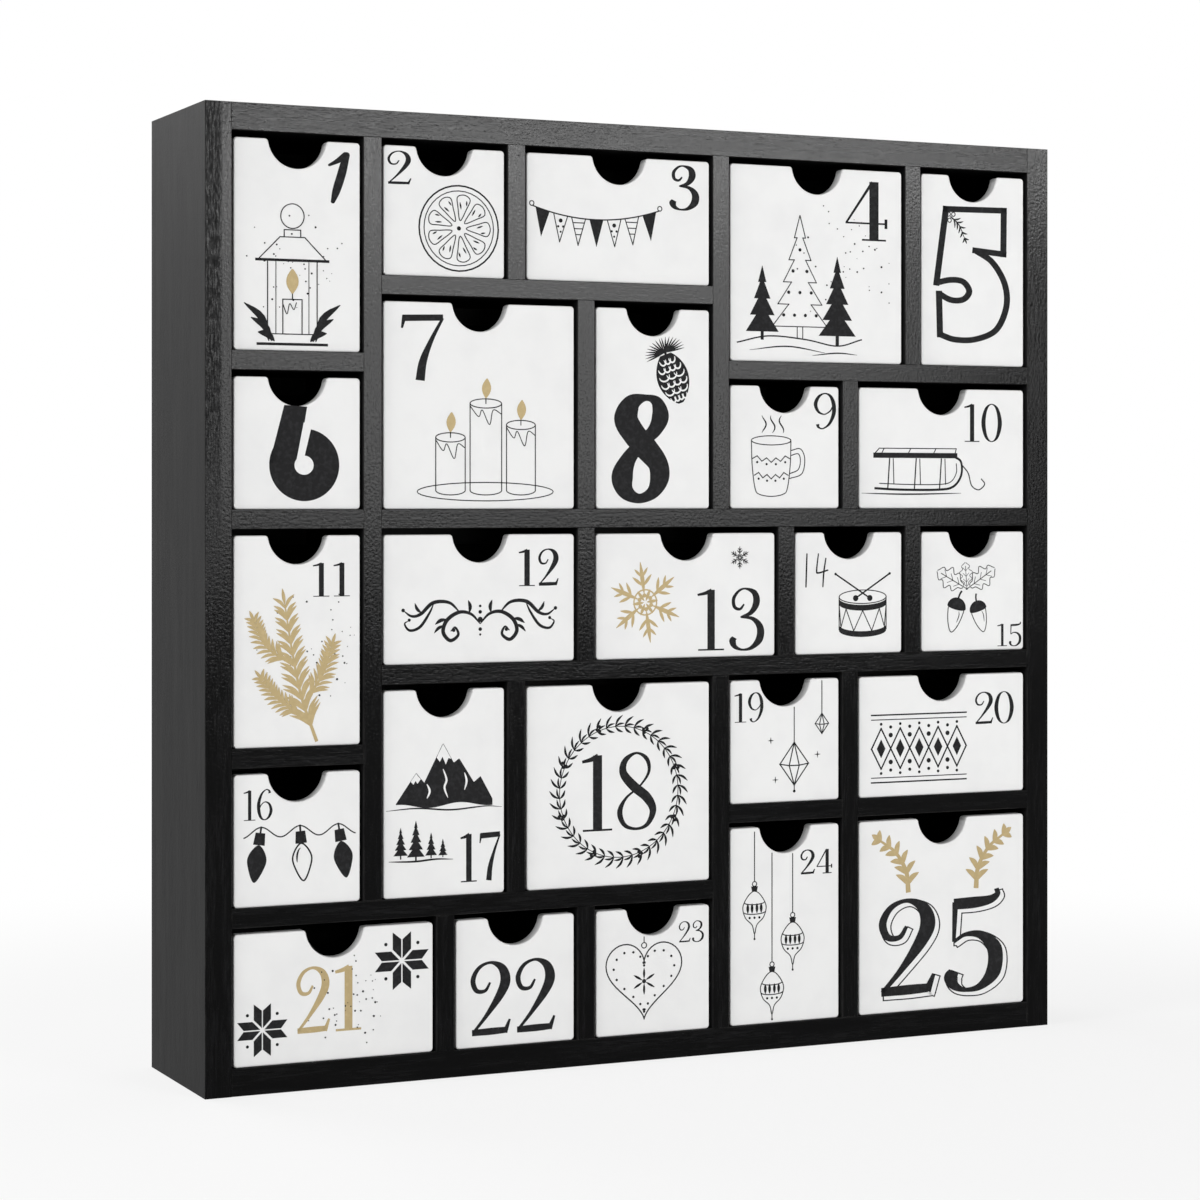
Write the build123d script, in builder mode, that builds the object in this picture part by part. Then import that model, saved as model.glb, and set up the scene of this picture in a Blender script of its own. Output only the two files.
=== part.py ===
"""Wooden advent calendar: a shallow standing case, divided by a lattice of
housed shelves and uprights into 25 compartments of four sizes, each with a
loose drawer that is pulled out by a finger notch in its front.

Millimetres. The origin is the middle of the underside, +Z is up, +X is to the
right and the drawers open towards -Y.
"""

import os

from build123d import *

# The case
case_width = 320.0
case_height = 320.0
case_depth = 60.0
wall_thickness = 9.0
divider_thickness = 6.4
housing_depth = 2.0
housing_stop = 6.0
board_edge_chamfer = 0.2
back_thickness = 3.0
back_rebate_width = 5.0

# The drawer fronts and the room that they run in
front_thickness = 5.0
front_recess = 1.0
front_side_gap = 0.9
front_top_gap = 2.1
front_corner_cut = 0.8
front_edge_chamfer = 0.4
notch_radius = 10.0
notch_centre_rise = 0.6
notch_mouth_radius = 1.2

# The drawer trays
tray_wall_thickness = 3.0
tray_bottom_thickness = 2.5
tray_bottom_rebate = 1.5
tray_side_inset = 0.4
tray_rim_drop = 4.0

# Each drawer's compartment between grid lines: left, right, lower, upper
drawer_cells = {
    1: (0, 2, 9, 12),
    2: (2, 4, 10, 12),
    3: (4, 7, 10, 12),
    4: (7, 10, 9, 12),
    5: (10, 12, 9, 12),
    6: (0, 2, 7, 9),
    7: (2, 5, 7, 10),
    8: (5, 7, 7, 10),
    9: (7, 9, 7, 9),
    10: (9, 12, 7, 9),
    11: (0, 2, 4, 7),
    12: (2, 5, 5, 7),
    13: (5, 8, 5, 7),
    14: (8, 10, 5, 7),
    15: (10, 12, 5, 7),
    16: (0, 2, 2, 4),
    17: (2, 4, 2, 5),
    18: (4, 7, 2, 5),
    19: (7, 9, 3, 5),
    20: (9, 12, 3, 5),
    21: (0, 3, 0, 2),
    22: (3, 5, 0, 2),
    23: (5, 7, 0, 2),
    24: (7, 9, 0, 3),
    25: (9, 12, 0, 3),
}

# Each shelf: its grid line up the case, then the lines where it starts and ends
shelf_groups = {
    "middle_shelf": [(7, 0, 12)],
    "short_shelves": [
        (10, 2, 7),
        (9, 0, 2),
        (9, 7, 12),
        (5, 2, 12),
        (4, 0, 2),
        (3, 7, 12),
        (2, 0, 7),
    ],
}

# Each upright: its grid line across the case, then the lines where it starts and ends
upright_groups = {
    "long_upright": [(2, 2, 12)],
    "upper_uprights": [
        (4, 10, 12),
        (7, 7, 12),
        (10, 9, 12),
        (5, 7, 10),
        (9, 7, 9),
    ],
    "lower_uprights": [
        (5, 5, 7),
        (8, 5, 7),
        (10, 5, 7),
        (4, 2, 5),
        (7, 0, 5),
        (9, 0, 5),
        (3, 0, 2),
        (5, 0, 2),
    ],
}

shelf_lines = [lines for group in shelf_groups.values() for lines in group]
upright_lines = [lines for group in upright_groups.values() for lines in group]

# The grid: one square unit from the face of a divider to the same face of the next
grid_columns = max(right for left, right, lower, upper in drawer_cells.values())
grid_rows = max(upper for left, right, lower, upper in drawer_cells.values())
inner_width = case_width - 2 * wall_thickness
inner_height = case_height - 2 * wall_thickness
column_pitch = (inner_width + divider_thickness) / grid_columns
row_pitch = (inner_height + divider_thickness) / grid_rows

# Depths, counted back from the front of the case
divider_depth = case_depth - back_thickness
lap_depth = divider_depth / 2
tray_depth = divider_depth - front_recess - front_thickness

# The back panel reaches into a rebate in all four outer boards
panel_width = inner_width + 2 * back_rebate_width
panel_height = inner_height + 2 * back_rebate_width

# Upright planes that face the viewer
front_plane = Plane.XZ.offset(case_depth / 2)
stop_plane = Plane.XZ.offset(case_depth / 2 - housing_stop)
lap_plane = Plane.XZ.offset(case_depth / 2 - lap_depth)
drawer_plane = Plane.XZ.offset(case_depth / 2 - front_recess)
tray_plane = Plane.XZ.offset(case_depth / 2 - front_recess - front_thickness)
tray_back_plane = Plane.XZ.offset(back_thickness + tray_wall_thickness - case_depth / 2)
back_plane = Plane.XZ.offset(-case_depth / 2)


def line_x(column):
    """Middle of the divider that stands on a grid line."""
    return column * column_pitch - (inner_width + divider_thickness) / 2


def line_z(row):
    """Middle of the divider that lies on a grid line."""
    return wall_thickness + row * row_pitch - divider_thickness / 2


def clear_span(line, first, last):
    """Free length between the dividers on two grid lines."""
    return line(first) + divider_thickness / 2, line(last) - divider_thickness / 2


def inside(line, first, last):
    """True where a grid line passes between two others."""
    return first < line < last


def case_board(left, right, low, high, depth, grain_axis, housings, laps, lap_start, in_frame):
    """A straight board with eased front edges along its grain, grooved for the
    dividers that end in it, and slotted to half its depth where it crosses
    another. One in the frame is rebated for the back panel. The others are let
    into housings at both ends, which stop short of the front and don't show."""
    along_x = grain_axis == Axis.X
    groove_width = divider_thickness if along_x else 2 * housing_depth
    groove_height = 2 * housing_depth if along_x else divider_thickness
    housed_width = right - left + (2 * housing_depth if along_x else 0)
    housed_height = high - low + (0 if along_x else 2 * housing_depth)
    middle = ((left + right) / 2, (low + high) / 2)
    with BuildPart() as board:
        with BuildSketch(front_plane):
            with Locations(middle):
                Rectangle(right - left, high - low)
        extrude(amount=-depth)
        front_edges = board.faces().sort_by(Axis.Y)[0].edges().filter_by(grain_axis)
        chamfer(front_edges, board_edge_chamfer)
        if not in_frame:
            with BuildSketch(stop_plane):
                with Locations(middle):
                    Rectangle(housed_width, housed_height)
            extrude(amount=housing_stop - depth)
        if housings:
            with BuildSketch(stop_plane):
                with Locations(*housings):
                    Rectangle(groove_width, groove_height)
            extrude(amount=housing_stop - depth, mode=Mode.SUBTRACT)
        if laps:
            with BuildSketch(lap_start):
                with Locations(*laps):
                    Rectangle(divider_thickness, divider_thickness)
            extrude(amount=-lap_depth, mode=Mode.SUBTRACT)
        if in_frame:
            with BuildSketch(back_plane):
                with Locations((0, case_height / 2)):
                    Rectangle(panel_width, panel_height)
            extrude(amount=back_thickness, mode=Mode.SUBTRACT)
    return board.part


def side_board(side, edge_line):
    """A full-height side, -1 on the left and 1 on the right, which takes the
    shelves that reach that edge of the grid."""
    outer = side * case_width / 2
    inner = side * inner_width / 2
    left, right = sorted([outer, inner])
    housings = [(inner, line_z(row)) for row, *ends in shelf_lines if edge_line in ends]
    return case_board(left, right, 0, case_height, case_depth, Axis.Z, housings, [], None, True)


def cross_board(end, edge_line):
    """The bottom, -1, or the top, 1, which fits between the sides and takes
    the uprights that reach that edge of the grid."""
    outer = (case_height + end * case_height) / 2
    inner = (case_height + end * inner_height) / 2
    low, high = sorted([outer, inner])
    right = inner_width / 2
    housings = [(line_x(column), inner) for column, *ends in upright_lines if edge_line in ends]
    return case_board(-right, right, low, high, case_depth, Axis.X, housings, [], None, True)


def shelf_board(row, first, last):
    """A shelf, let into the boards at its ends. It is grooved for each upright
    that ends on it, and slotted from the front where an upright crosses it."""
    left, right = clear_span(line_x, first, last)
    low = line_z(row) - divider_thickness / 2
    high = line_z(row) + divider_thickness / 2
    met = [lines for lines in upright_lines if inside(lines[0], first, last)]
    housings = [(line_x(column), high) for column, foot, head in met if foot == row]
    housings += [(line_x(column), low) for column, foot, head in met if head == row]
    laps = [(line_x(column), line_z(row)) for column, foot, head in met if inside(row, foot, head)]
    return case_board(left, right, low, high, divider_depth, Axis.X, housings, laps, front_plane, False)


def upright_board(column, foot, head):
    """An upright, let into the boards at its ends. It is grooved for each shelf
    that ends on it, and slotted from the back where it crosses a shelf."""
    low, high = clear_span(line_z, foot, head)
    left = line_x(column) - divider_thickness / 2
    right = line_x(column) + divider_thickness / 2
    met = [lines for lines in shelf_lines if inside(lines[0], foot, head)]
    housings = [(right, line_z(row)) for row, first, last in met if first == column]
    housings += [(left, line_z(row)) for row, first, last in met if last == column]
    laps = [(line_x(column), line_z(row)) for row, first, last in met if inside(column, first, last)]
    return case_board(left, right, low, high, divider_depth, Axis.Z, housings, laps, lap_plane, False)


def front_panel(left, right, low, high):
    """A drawer front: a plate with clipped corners and eased edges, scooped at
    the middle of its top for a fingertip."""
    middle = (left + right) / 2
    with BuildPart() as front:
        with BuildSketch(drawer_plane) as outline:
            with Locations((middle, (low + high) / 2)):
                Rectangle(right - left, high - low)
            chamfer(outline.vertices(), front_corner_cut)
            with Locations((middle, high + notch_centre_rise)):
                Circle(notch_radius, mode=Mode.SUBTRACT)
            mouth = outline.vertices().sort_by(lambda corner: abs(corner.X - middle))[:2]
            fillet(mouth, notch_mouth_radius)
        extrude(amount=-front_thickness)
        face_edges = front.faces().sort_by(Axis.Y)[0].outer_wire().edges()
        chamfer(face_edges, front_edge_chamfer)
    return front.part


def tray_side(side, left, right, low, high):
    """One side of a tray, -1 on the left and 1 on the right, rebated along its
    lower inner edge for the bottom."""
    outer = left if side < 0 else right
    inner = outer - side * tray_wall_thickness
    with BuildPart() as tray_wall:
        with BuildSketch(tray_plane):
            with Locations(((outer + inner) / 2, (low + high) / 2)):
                Rectangle(tray_wall_thickness, high - low)
            with Locations((inner, low)):
                Rectangle(2 * tray_bottom_rebate, 2 * tray_bottom_thickness, mode=Mode.SUBTRACT)
        extrude(amount=-tray_depth)
    return tray_wall.part


def tray_back(left, right, low, high):
    """The back of a tray, which stands on the bottom between the two sides."""
    inner_left = left + tray_wall_thickness
    inner_right = right - tray_wall_thickness
    foot = low + tray_bottom_thickness
    with BuildPart() as back_wall:
        with BuildSketch(tray_back_plane):
            with Locations(((inner_left + inner_right) / 2, (foot + high) / 2)):
                Rectangle(inner_right - inner_left, high - foot)
        extrude(amount=-tray_wall_thickness)
    return back_wall.part


def tray_bottom(left, right, low):
    """The bottom of a tray, which lies in the rebates of the two sides."""
    edge = tray_wall_thickness - tray_bottom_rebate
    with BuildPart() as floor:
        with BuildSketch(tray_plane):
            with Locations(((left + right) / 2, low + tray_bottom_thickness / 2)):
                Rectangle(right - left - 2 * edge, tray_bottom_thickness)
        extrude(amount=-tray_depth)
    return floor.part


def save(name, *pieces):
    """Label a finished piece, or a group of pieces, and write it."""
    node = pieces[0] if len(pieces) == 1 else Compound(children=pieces)
    node.label = name
    export_step(node, f"parts/{name}.step")


os.makedirs("parts", exist_ok=True)

# Outer frame: the sides run the full height, with the top and bottom between them
save("left_side", side_board(-1, 0))
save("right_side", side_board(1, grid_columns))
save("bottom_board", cross_board(-1, 0))
save("top_board", cross_board(1, grid_rows))

# Back panel, flush in its rebate
with BuildPart() as back_panel:
    with BuildSketch(back_plane):
        with Locations((0, case_height / 2)):
            Rectangle(panel_width, panel_height)
    extrude(amount=back_thickness)
save("back_panel", back_panel.part)

# Lattice of shelves and uprights
for name, group in shelf_groups.items():
    save(name, *[shelf_board(*lines) for lines in group])
for name, group in upright_groups.items():
    save(name, *[upright_board(*lines) for lines in group])

# Drawers: each rests on the floor of its compartment, with its tray against the back panel
for number, (first, last, lower, upper) in drawer_cells.items():
    cell_left, cell_right = clear_span(line_x, first, last)
    cell_floor, cell_ceiling = clear_span(line_z, lower, upper)
    front_left = cell_left + front_side_gap
    front_right = cell_right - front_side_gap
    front_top = cell_ceiling - front_top_gap
    tray_left = front_left + tray_side_inset
    tray_right = front_right - tray_side_inset
    tray_rim = front_top - tray_rim_drop
    save(
        f"drawer_{number:02d}_front",
        front_panel(front_left, front_right, cell_floor, front_top),
    )
    save(
        f"drawer_{number:02d}_tray",
        tray_side(-1, tray_left, tray_right, cell_floor, tray_rim),
        tray_side(1, tray_left, tray_right, cell_floor, tray_rim),
        tray_back(tray_left, tray_right, cell_floor, tray_rim),
        tray_bottom(tray_left, tray_right, cell_floor),
    )
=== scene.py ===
"""Wooden advent calendar: the paint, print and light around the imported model.

Metres, in the model's own frame: the origin is the middle of the underside,
+Z is up, +X is to the right and the drawers open towards -Y.
"""

import math

import bpy
import numpy as np
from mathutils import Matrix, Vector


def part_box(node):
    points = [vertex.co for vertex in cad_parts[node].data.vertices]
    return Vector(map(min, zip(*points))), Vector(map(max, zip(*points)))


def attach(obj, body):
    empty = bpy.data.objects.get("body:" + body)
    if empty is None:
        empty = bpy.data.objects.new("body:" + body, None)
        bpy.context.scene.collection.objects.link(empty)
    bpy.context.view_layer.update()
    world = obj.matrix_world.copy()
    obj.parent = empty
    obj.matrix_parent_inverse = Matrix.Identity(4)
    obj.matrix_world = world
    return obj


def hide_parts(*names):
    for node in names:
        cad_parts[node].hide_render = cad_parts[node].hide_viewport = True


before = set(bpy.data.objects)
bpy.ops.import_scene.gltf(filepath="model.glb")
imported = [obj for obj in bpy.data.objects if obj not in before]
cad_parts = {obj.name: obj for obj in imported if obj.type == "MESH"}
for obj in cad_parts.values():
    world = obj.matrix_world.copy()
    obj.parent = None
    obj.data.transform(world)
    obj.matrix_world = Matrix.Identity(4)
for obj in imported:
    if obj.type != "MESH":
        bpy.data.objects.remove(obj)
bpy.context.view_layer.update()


# Case boards: planed softwood, housed and glued into a lattice, then brushed with
# black paint: glossy on the front edges, dry on the broad faces. The grain shows as
# fine streaks along each board, and the corners are rubbed paler.
crosswise_boards = ["top_board", "bottom_board", "middle_shelf", "short_shelves"]
upright_boards = ["right_side", "long_upright", "upper_uprights", "lower_uprights"]
crosswise_grain = (80.0, 900.0, 900.0)
upright_grain = (900.0, 900.0, 80.0)
gloss_black_colour = (0.0006, 0.0006, 0.0007, 1.0)
gloss_streak_colour = (0.0085, 0.0085, 0.0090, 1.0)
dry_black_colour = (0.0050, 0.0050, 0.0052, 1.0)
dry_streak_colour = (0.0190, 0.0188, 0.0185, 1.0)
rubbed_colour = (0.030, 0.029, 0.028, 1.0)
corner_radius = 0.0006
black_paint_shine = 0.07
broad_face_roughness = 0.52
front_edge_roughness = 0.075
pore_roughness = 0.075
brush_mark_strength = 0.22
brush_mark_depth = 0.0002

# Dry flecks on the front edges: the heights where they start, are whole, fade and end
fleck_heights = (0.130, 0.180, 0.230, 0.300)
fleck_share_below = 0.25
fleck_roughness = 0.19
fleck_roughness_at_top = 0.03

# Dry band down the outer front edge of the left side, in its upper part
dry_band_start = 0.1540
dry_band_fade = 0.0012
dry_band_foot = 0.160
dry_band_full = 0.220
dry_band_roughness = 0.48
dry_band_stretch = (1500.0, 1500.0, 300.0)
no_dry_band = 1.0


def add(tree, kind, sockets=None, **settings):
    """Add a node, set its properties, and fill or link its input sockets."""
    made = tree.nodes.new(kind)
    for name, value in settings.items():
        setattr(made, name, value)
    for socket, value in (sockets or {}).items():
        if isinstance(value, bpy.types.NodeSocket):
            tree.links.new(value, made.inputs[socket])
        else:
            made.inputs[socket].default_value = value
    return made


def noise(tree, place, scale, detail, **sockets):
    """Noise over a place."""
    sockets.update(Vector=place, Scale=scale, Detail=detail)
    return add(tree, "ShaderNodeTexNoise", sockets).outputs[0]


def ramp(tree, value, low=0.0, high=1.0, start=0.0, end=1.0, **settings):
    """A value's span from low to high, carried to the span from start to end."""
    spans = {"Value": value, "From Min": low, "From Max": high, "To Min": start, "To Max": end}
    return add(tree, "ShaderNodeMapRange", spans, **settings).outputs[0]


def maths(tree, operation, *values):
    """Arithmetic on one to three values."""
    return add(tree, "ShaderNodeMath", dict(enumerate(values)), operation=operation).outputs[0]


def mixed(tree, share, first, second):
    """Two colours, mixed by the second one's share."""
    colours = {"Factor": share, 6: first, 7: second}
    return add(tree, "ShaderNodeMix", colours, data_type="RGBA").outputs[2]


def stretched(tree, place, stretch):
    """A place, multiplied along each axis."""
    axes = {0: place, 1: stretch}
    return add(tree, "ShaderNodeVectorMath", axes, operation="MULTIPLY").outputs[0]


def likeness(tree, first, second):
    """How far two directions agree: their dot product."""
    pair = add(tree, "ShaderNodeVectorMath", {0: first, 1: second}, operation="DOT_PRODUCT")
    return pair.outputs["Value"]


def effect(name, inputs, outputs):
    """Start a node group with named sockets; gives its tree, inputs and outputs."""
    tree = bpy.data.node_groups.new(name, "ShaderNodeTree")
    for socket, kind in inputs.items():
        tree.interface.new_socket(socket, in_out="INPUT", socket_type=kind)
    for socket, kind in outputs.items():
        tree.interface.new_socket(socket, in_out="OUTPUT", socket_type=kind)
    return tree, add(tree, "NodeGroupInput").outputs, add(tree, "NodeGroupOutput").inputs


def new_finish(name):
    """Start an empty material; gives it, its tree and the place on the piece."""
    material = bpy.data.materials.new(name)
    material.use_nodes = True
    material.node_tree.nodes.clear()
    place = add(material.node_tree, "ShaderNodeTexCoord").outputs["Object"]
    return material, material.node_tree, place


def close(tree, shader):
    """Send a shader to the material's surface."""
    add(tree, "ShaderNodeOutputMaterial", {"Surface": shader.outputs[0]})


def coat(tree, colour, roughness, shine, height, strength, depth, metallic=0.0):
    """Close a material with a coat of one colour, roughness and shine over a relief."""
    bump = {"Height": height, "Strength": strength, "Distance": depth}
    relief = add(tree, "ShaderNodeBump", bump)
    close(tree, add(tree, "ShaderNodeBsdfPrincipled", {
        "Base Color": colour,
        "Roughness": roughness,
        "Metallic": metallic,
        "Specular IOR Level": shine,
        "Normal": relief.outputs[0],
    }))


def make_wood_grain():
    """Streaks: noise stretched along the grain, a broad one for the year rings times a
    fine one for the pores. Relief: a little of the pores and all of the brush's stipple."""
    tree, given, result = effect(
        "wood_grain",
        {"Position": "NodeSocketVector", "Stretch": "NodeSocketVector"},
        {"Streaks": "NodeSocketFloat", "Pores": "NodeSocketFloat", "Relief": "NodeSocketFloat"},
    )
    along = stretched(tree, given["Position"], given["Stretch"])
    rings = ramp(tree, noise(tree, along, 0.35, 3.0, Distortion=0.4), 0.42, 0.68)
    pores = ramp(tree, noise(tree, along, 2.2, 5.0, Roughness=0.65), 0.38, 0.72)
    stipple = noise(tree, given["Position"], 1000.0, 2.0)
    tree.links.new(maths(tree, "MULTIPLY", rings, pores), result["Streaks"])
    tree.links.new(pores, result["Pores"])
    tree.links.new(maths(tree, "MULTIPLY_ADD", pores, 0.20, stipple), result["Relief"])
    return tree


def make_edge_wear():
    """Rubbed edges: where the normal, rounded over a small radius, leaves the face's
    own normal, broken up by noise."""
    tree, given, result = effect(
        "edge_wear",
        {"Position": "NodeSocketVector", "Radius": "NodeSocketFloat"},
        {"Wear": "NodeSocketFloat"},
    )
    rounded = add(tree, "ShaderNodeBevel", {"Radius": given["Radius"]}, samples=4).outputs[0]
    face = add(tree, "ShaderNodeNewGeometry").outputs["Normal"]
    edge = ramp(tree, likeness(tree, rounded, face), 0.99, 0.78)
    broken = ramp(tree, noise(tree, given["Position"], 160.0, 4.0), 0.40, 0.66)
    tree.links.new(maths(tree, "MULTIPLY", edge, broken), result["Wear"])
    return tree


wood_grain = make_wood_grain()
edge_wear = make_edge_wear()


def wear(tree, place, radius):
    """Share of wear at a place, with edges rounded over a radius."""
    sockets = {"Position": place, "Radius": radius}
    return add(tree, "ShaderNodeGroup", sockets, node_tree=edge_wear).outputs["Wear"]


def black_paint(name, stretch, dry_from):
    """Black paint over grain that runs along the least stretched axis. Faces that point
    to the front are glossy, with fine dry flecks that are thickest half way up. Further
    out from the case's middle than a given distance, and high up, they are patchy and dry."""
    material, tree, place = new_finish(name)
    sockets = {"Position": place, "Stretch": stretch}
    grain = add(tree, "ShaderNodeGroup", sockets, node_tree=wood_grain).outputs
    normal = add(tree, "ShaderNodeNewGeometry").outputs["Normal"]
    facing = ramp(tree, likeness(tree, normal, (0.0, -1.0, 0.0)), 0.5, 0.9)
    dark = mixed(tree, facing, dry_black_colour, gloss_black_colour)
    pale = mixed(tree, facing, dry_streak_colour, gloss_streak_colour)
    streaked = mixed(tree, grain["Streaks"], dark, pale)
    rubbed = mixed(tree, wear(tree, place, corner_radius), streaked, rubbed_colour)

    axes = add(tree, "ShaderNodeSeparateXYZ", {0: place}).outputs
    starts, whole, fades, ends = fleck_heights
    spots = ramp(tree, noise(tree, place, 1400.0, 3.0, Roughness=0.6), 0.48, 0.62)
    from_below = ramp(tree, axes["Z"], starts, whole, fleck_share_below)
    to_top = ramp(tree, axes["Z"], fades, ends, fleck_roughness, fleck_roughness_at_top)
    flecks = maths(tree, "MULTIPLY", spots, maths(tree, "MULTIPLY", from_below, to_top))

    outer = ramp(tree, maths(tree, "ABSOLUTE", axes["X"]), dry_from, dry_from + dry_band_fade)
    upper = ramp(tree, axes["Z"], dry_band_foot, dry_band_full)
    patches = noise(tree, stretched(tree, place, dry_band_stretch), 1.0, 5.0, Roughness=0.6)
    patchy = ramp(tree, patches, 0.34, 0.68, end=dry_band_roughness)
    band = maths(tree, "MULTIPLY", outer, upper)
    dull = maths(tree, "MULTIPLY_ADD", band, patchy, flecks)

    front_dull = maths(tree, "MULTIPLY", dull, facing)
    dry = maths(tree, "MULTIPLY_ADD", grain["Pores"], pore_roughness, front_dull)
    even = ramp(tree, facing, start=broad_face_roughness, end=front_edge_roughness)
    coat(tree, rubbed, maths(tree, "ADD", even, dry), black_paint_shine,
         grain["Relief"], brush_mark_strength, brush_mark_depth)
    return material


def dress(nodes, material):
    """Give carried-over nodes of the model their finish."""
    for name in nodes:
        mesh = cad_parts[name].data
        mesh.materials.clear()
        mesh.materials.append(material)


dress(crosswise_boards, black_paint("black_paint_crosswise", crosswise_grain, no_dry_band))
dress(upright_boards, black_paint("black_paint_upright", upright_grain, no_dry_band))
dress(["left_side"], black_paint("black_paint_left", upright_grain, dry_band_start))


# Back panel: thin hardboard, let into a rebate round the back of the case and
# glued. It has one thin coat of matt black, through which its fibres show.
panel_colour = (0.010, 0.010, 0.010, 1.0)
panel_fibre_colour = (0.026, 0.024, 0.022, 1.0)
panel_shine = 0.2
panel_fibre_strength = 0.25
panel_fibre_depth = 0.0001


def panel_board():
    """Pressed fibres: fine noise in every direction under a thin matt coat."""
    material, tree, place = new_finish("panel_board")
    fibres = noise(tree, place, 900.0, 4.0, Distortion=1.5)
    patches = noise(tree, place, 14.0, 3.0)
    thin = ramp(tree, maths(tree, "MULTIPLY", fibres, patches), 0.18, 0.42)
    colour = mixed(tree, thin, panel_colour, panel_fibre_colour)
    coat(tree, colour, ramp(tree, patches, start=0.5, end=0.75), panel_shine,
         fibres, panel_fibre_strength, panel_fibre_depth)
    return material


dress(["back_panel"], panel_board())


# Drawer trays: four thin pieces of board each, glued behind the front, dyed
# black and left matt. The cut edges are a shade paler than the faces.
drawer_numbers = range(1, 26)
tray_colour = (0.0040, 0.0040, 0.0042, 1.0)
tray_edge_colour = (0.014, 0.013, 0.012, 1.0)
tray_corner_radius = 0.0004
tray_shine = 0.1
tray_tooth_strength = 0.2
tray_tooth_depth = 0.0001


def tray_board():
    """Matt black board: even colour, paler cut edges and a fine tooth."""
    material, tree, place = new_finish("tray_board")
    tooth = noise(tree, place, 1400.0, 3.0)
    colour = mixed(tree, wear(tree, place, tray_corner_radius), tray_colour, tray_edge_colour)
    coat(tree, colour, ramp(tree, tooth, start=0.62, end=0.85), tray_shine,
         tooth, tray_tooth_strength, tray_tooth_depth)
    return material


dress([f"drawer_{number:02d}_tray" for number in drawer_numbers], tray_board())


# Drawer fronts: 5 mm fibreboard, cut with rounded corners and a scoop for the
# fingertip, eased along its edges and sprayed satin white. Each is glued to
# the front of its tray.
front_corner_radius = 0.0012
front_edge_radius = 0.0005
back_edge_radius = 0.0012
scoop_radius = 0.0100
scoop_rise = 0.0006
scoop_mouth_radius = 0.0012
corner_steps = 7
scoop_steps = 41
edge_steps = 6
white_paint_colour = (0.79, 0.79, 0.785, 1.0)
white_shade_colour = (0.762, 0.762, 0.760, 1.0)
white_edge_colour = (0.56, 0.55, 0.54, 1.0)
white_paint_shine = 0.08
orange_peel_strength = 0.12
orange_peel_depth = 0.0001


def rounding(centre, radius, start, end, steps=corner_steps, hollow=False):
    """Points and outward normals on an arc from one angle to another; on a hollow arc
    the outside is towards its centre."""
    angle = np.radians(np.linspace(start, end, steps))
    ray = np.column_stack([np.cos(angle), np.sin(angle)])
    return np.array(centre) + radius * ray, -ray if hollow else ray


def front_outline(left, right, low, high):
    """Outline, anticlockwise from the lower left corner: four corner arcs, and at the
    middle of the top a scoop whose two lips are arcs tangent to it."""
    middle = (left + right) / 2
    lip_drop = scoop_rise + scoop_mouth_radius
    lip_reach = math.sqrt((scoop_radius + scoop_mouth_radius) ** 2 - lip_drop ** 2)
    dip = math.degrees(math.atan2(lip_drop, lip_reach))
    inner_left, inner_right = left + front_corner_radius, right - front_corner_radius
    inner_low, inner_high = low + front_corner_radius, high - front_corner_radius
    lip_height = high - scoop_mouth_radius
    scoop = (middle, high + scoop_rise)
    arcs = [
        rounding((inner_left, inner_low), front_corner_radius, 180, 270),
        rounding((inner_right, inner_low), front_corner_radius, 270, 360),
        rounding((inner_right, inner_high), front_corner_radius, 0, 90),
        rounding((middle + lip_reach, lip_height), scoop_mouth_radius, 90, 180 - dip),
        rounding(scoop, scoop_radius, -dip, dip - 180, scoop_steps, hollow=True),
        rounding((middle - lip_reach, lip_height), scoop_mouth_radius, dip, 90),
        rounding((inner_left, inner_high), front_corner_radius, 90, 180),
    ]
    points, normals = zip(*arcs)
    return np.concatenate(points), np.concatenate(normals)


def edge_profile(thickness):
    """Inset and depth across the edge: a quarter round, straight, a quarter round."""
    turn = np.radians(np.linspace(0, 90, edge_steps))
    front = np.column_stack([1 - np.sin(turn), 1 - np.cos(turn)]) * front_edge_radius
    back = np.column_stack([1 - np.cos(turn), np.sin(turn) - 1]) * back_edge_radius
    back[:, 1] += thickness
    return np.concatenate([front, back])


def piece(name, points, faces, material):
    """Make an object of one material from whole arrays of points and faces."""
    mesh = bpy.data.meshes.new(name)
    mesh.from_pydata(points.tolist(), [], faces)
    mesh.materials.append(material)
    made = bpy.data.objects.new(name, mesh)
    bpy.context.collection.objects.link(made)
    return made


def painted_front(low_corner, high_corner):
    """The edge profile carried round the outline, with a flat face at each end of it:
    each ring of points is the outline, drawn in by the profile's inset and set back by
    its depth."""
    (left, face_y, low), (right, back_y, high) = low_corner, high_corner
    outline, normals = front_outline(left, right, low, high)
    profile = edge_profile(back_y - face_y)
    rings = outline[None] - normals[None] * profile[:, 0, None, None]
    depth = np.broadcast_to(face_y + profile[:, 1, None], rings.shape[:2])
    points = np.stack([rings[..., 0], depth, rings[..., 1]], -1).reshape(-1, 3)
    count = len(outline)
    index = np.arange(len(profile) * count).reshape(len(profile), count)
    ahead = np.roll(index, -1, axis=1)
    edge = np.stack([index[1:], ahead[1:], ahead[:-1], index[:-1]], -1).reshape(-1, 4)
    return points, edge.tolist() + [index[0].tolist(), index[-1][::-1].tolist()]


def white_paint():
    """Sprayed satin white: a faint cloudiness, fine orange peel and edges where the
    coat is thin."""
    material, tree, place = new_finish("white_paint")
    cloud = noise(tree, place, 90.0, 5.0)
    peel = noise(tree, place, 1100.0, 2.0)
    cloudy = mixed(tree, ramp(tree, cloud, 0.42, 0.72), white_paint_colour, white_shade_colour)
    thin = mixed(tree, wear(tree, place, corner_radius), cloudy, white_edge_colour)
    coat(tree, thin, ramp(tree, cloud, start=0.48, end=0.64), white_paint_shine,
         peel, orange_peel_strength, orange_peel_depth)
    return material


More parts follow.
